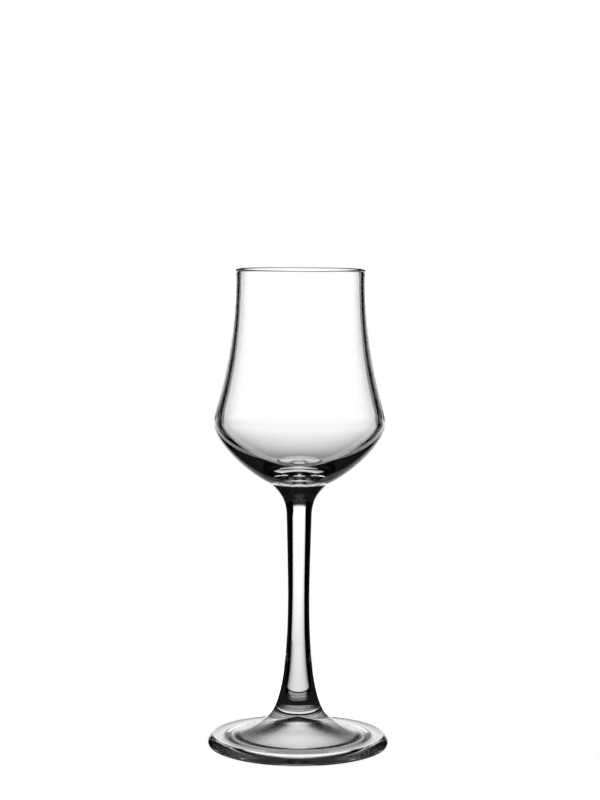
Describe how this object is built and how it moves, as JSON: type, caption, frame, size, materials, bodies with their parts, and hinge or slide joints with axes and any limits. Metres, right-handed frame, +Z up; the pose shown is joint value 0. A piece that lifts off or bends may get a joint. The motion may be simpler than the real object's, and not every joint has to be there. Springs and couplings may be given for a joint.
{
  "type": "grappa glass",
  "caption": "Clear grappa glass: tulip bowl with a low belly and a narrow straight mouth, slim drawn stem and round foot with a hollow underside.",
  "frame": {"origin": "centre of the standing ring, on the table", "axes": "+Z up along the axis of the glass; X and Y are any two directions square to it, since the glass is round"},
  "size_m": [0.0624, 0.0624, 0.165],
  "materials": {
    "clear_glass": "clear, fire polished"
  },
  "bodies": {
    "root": {"bowl": "clear_glass", "stem": "clear_glass", "foot": "clear_glass"}
  },
  "joints": []
}
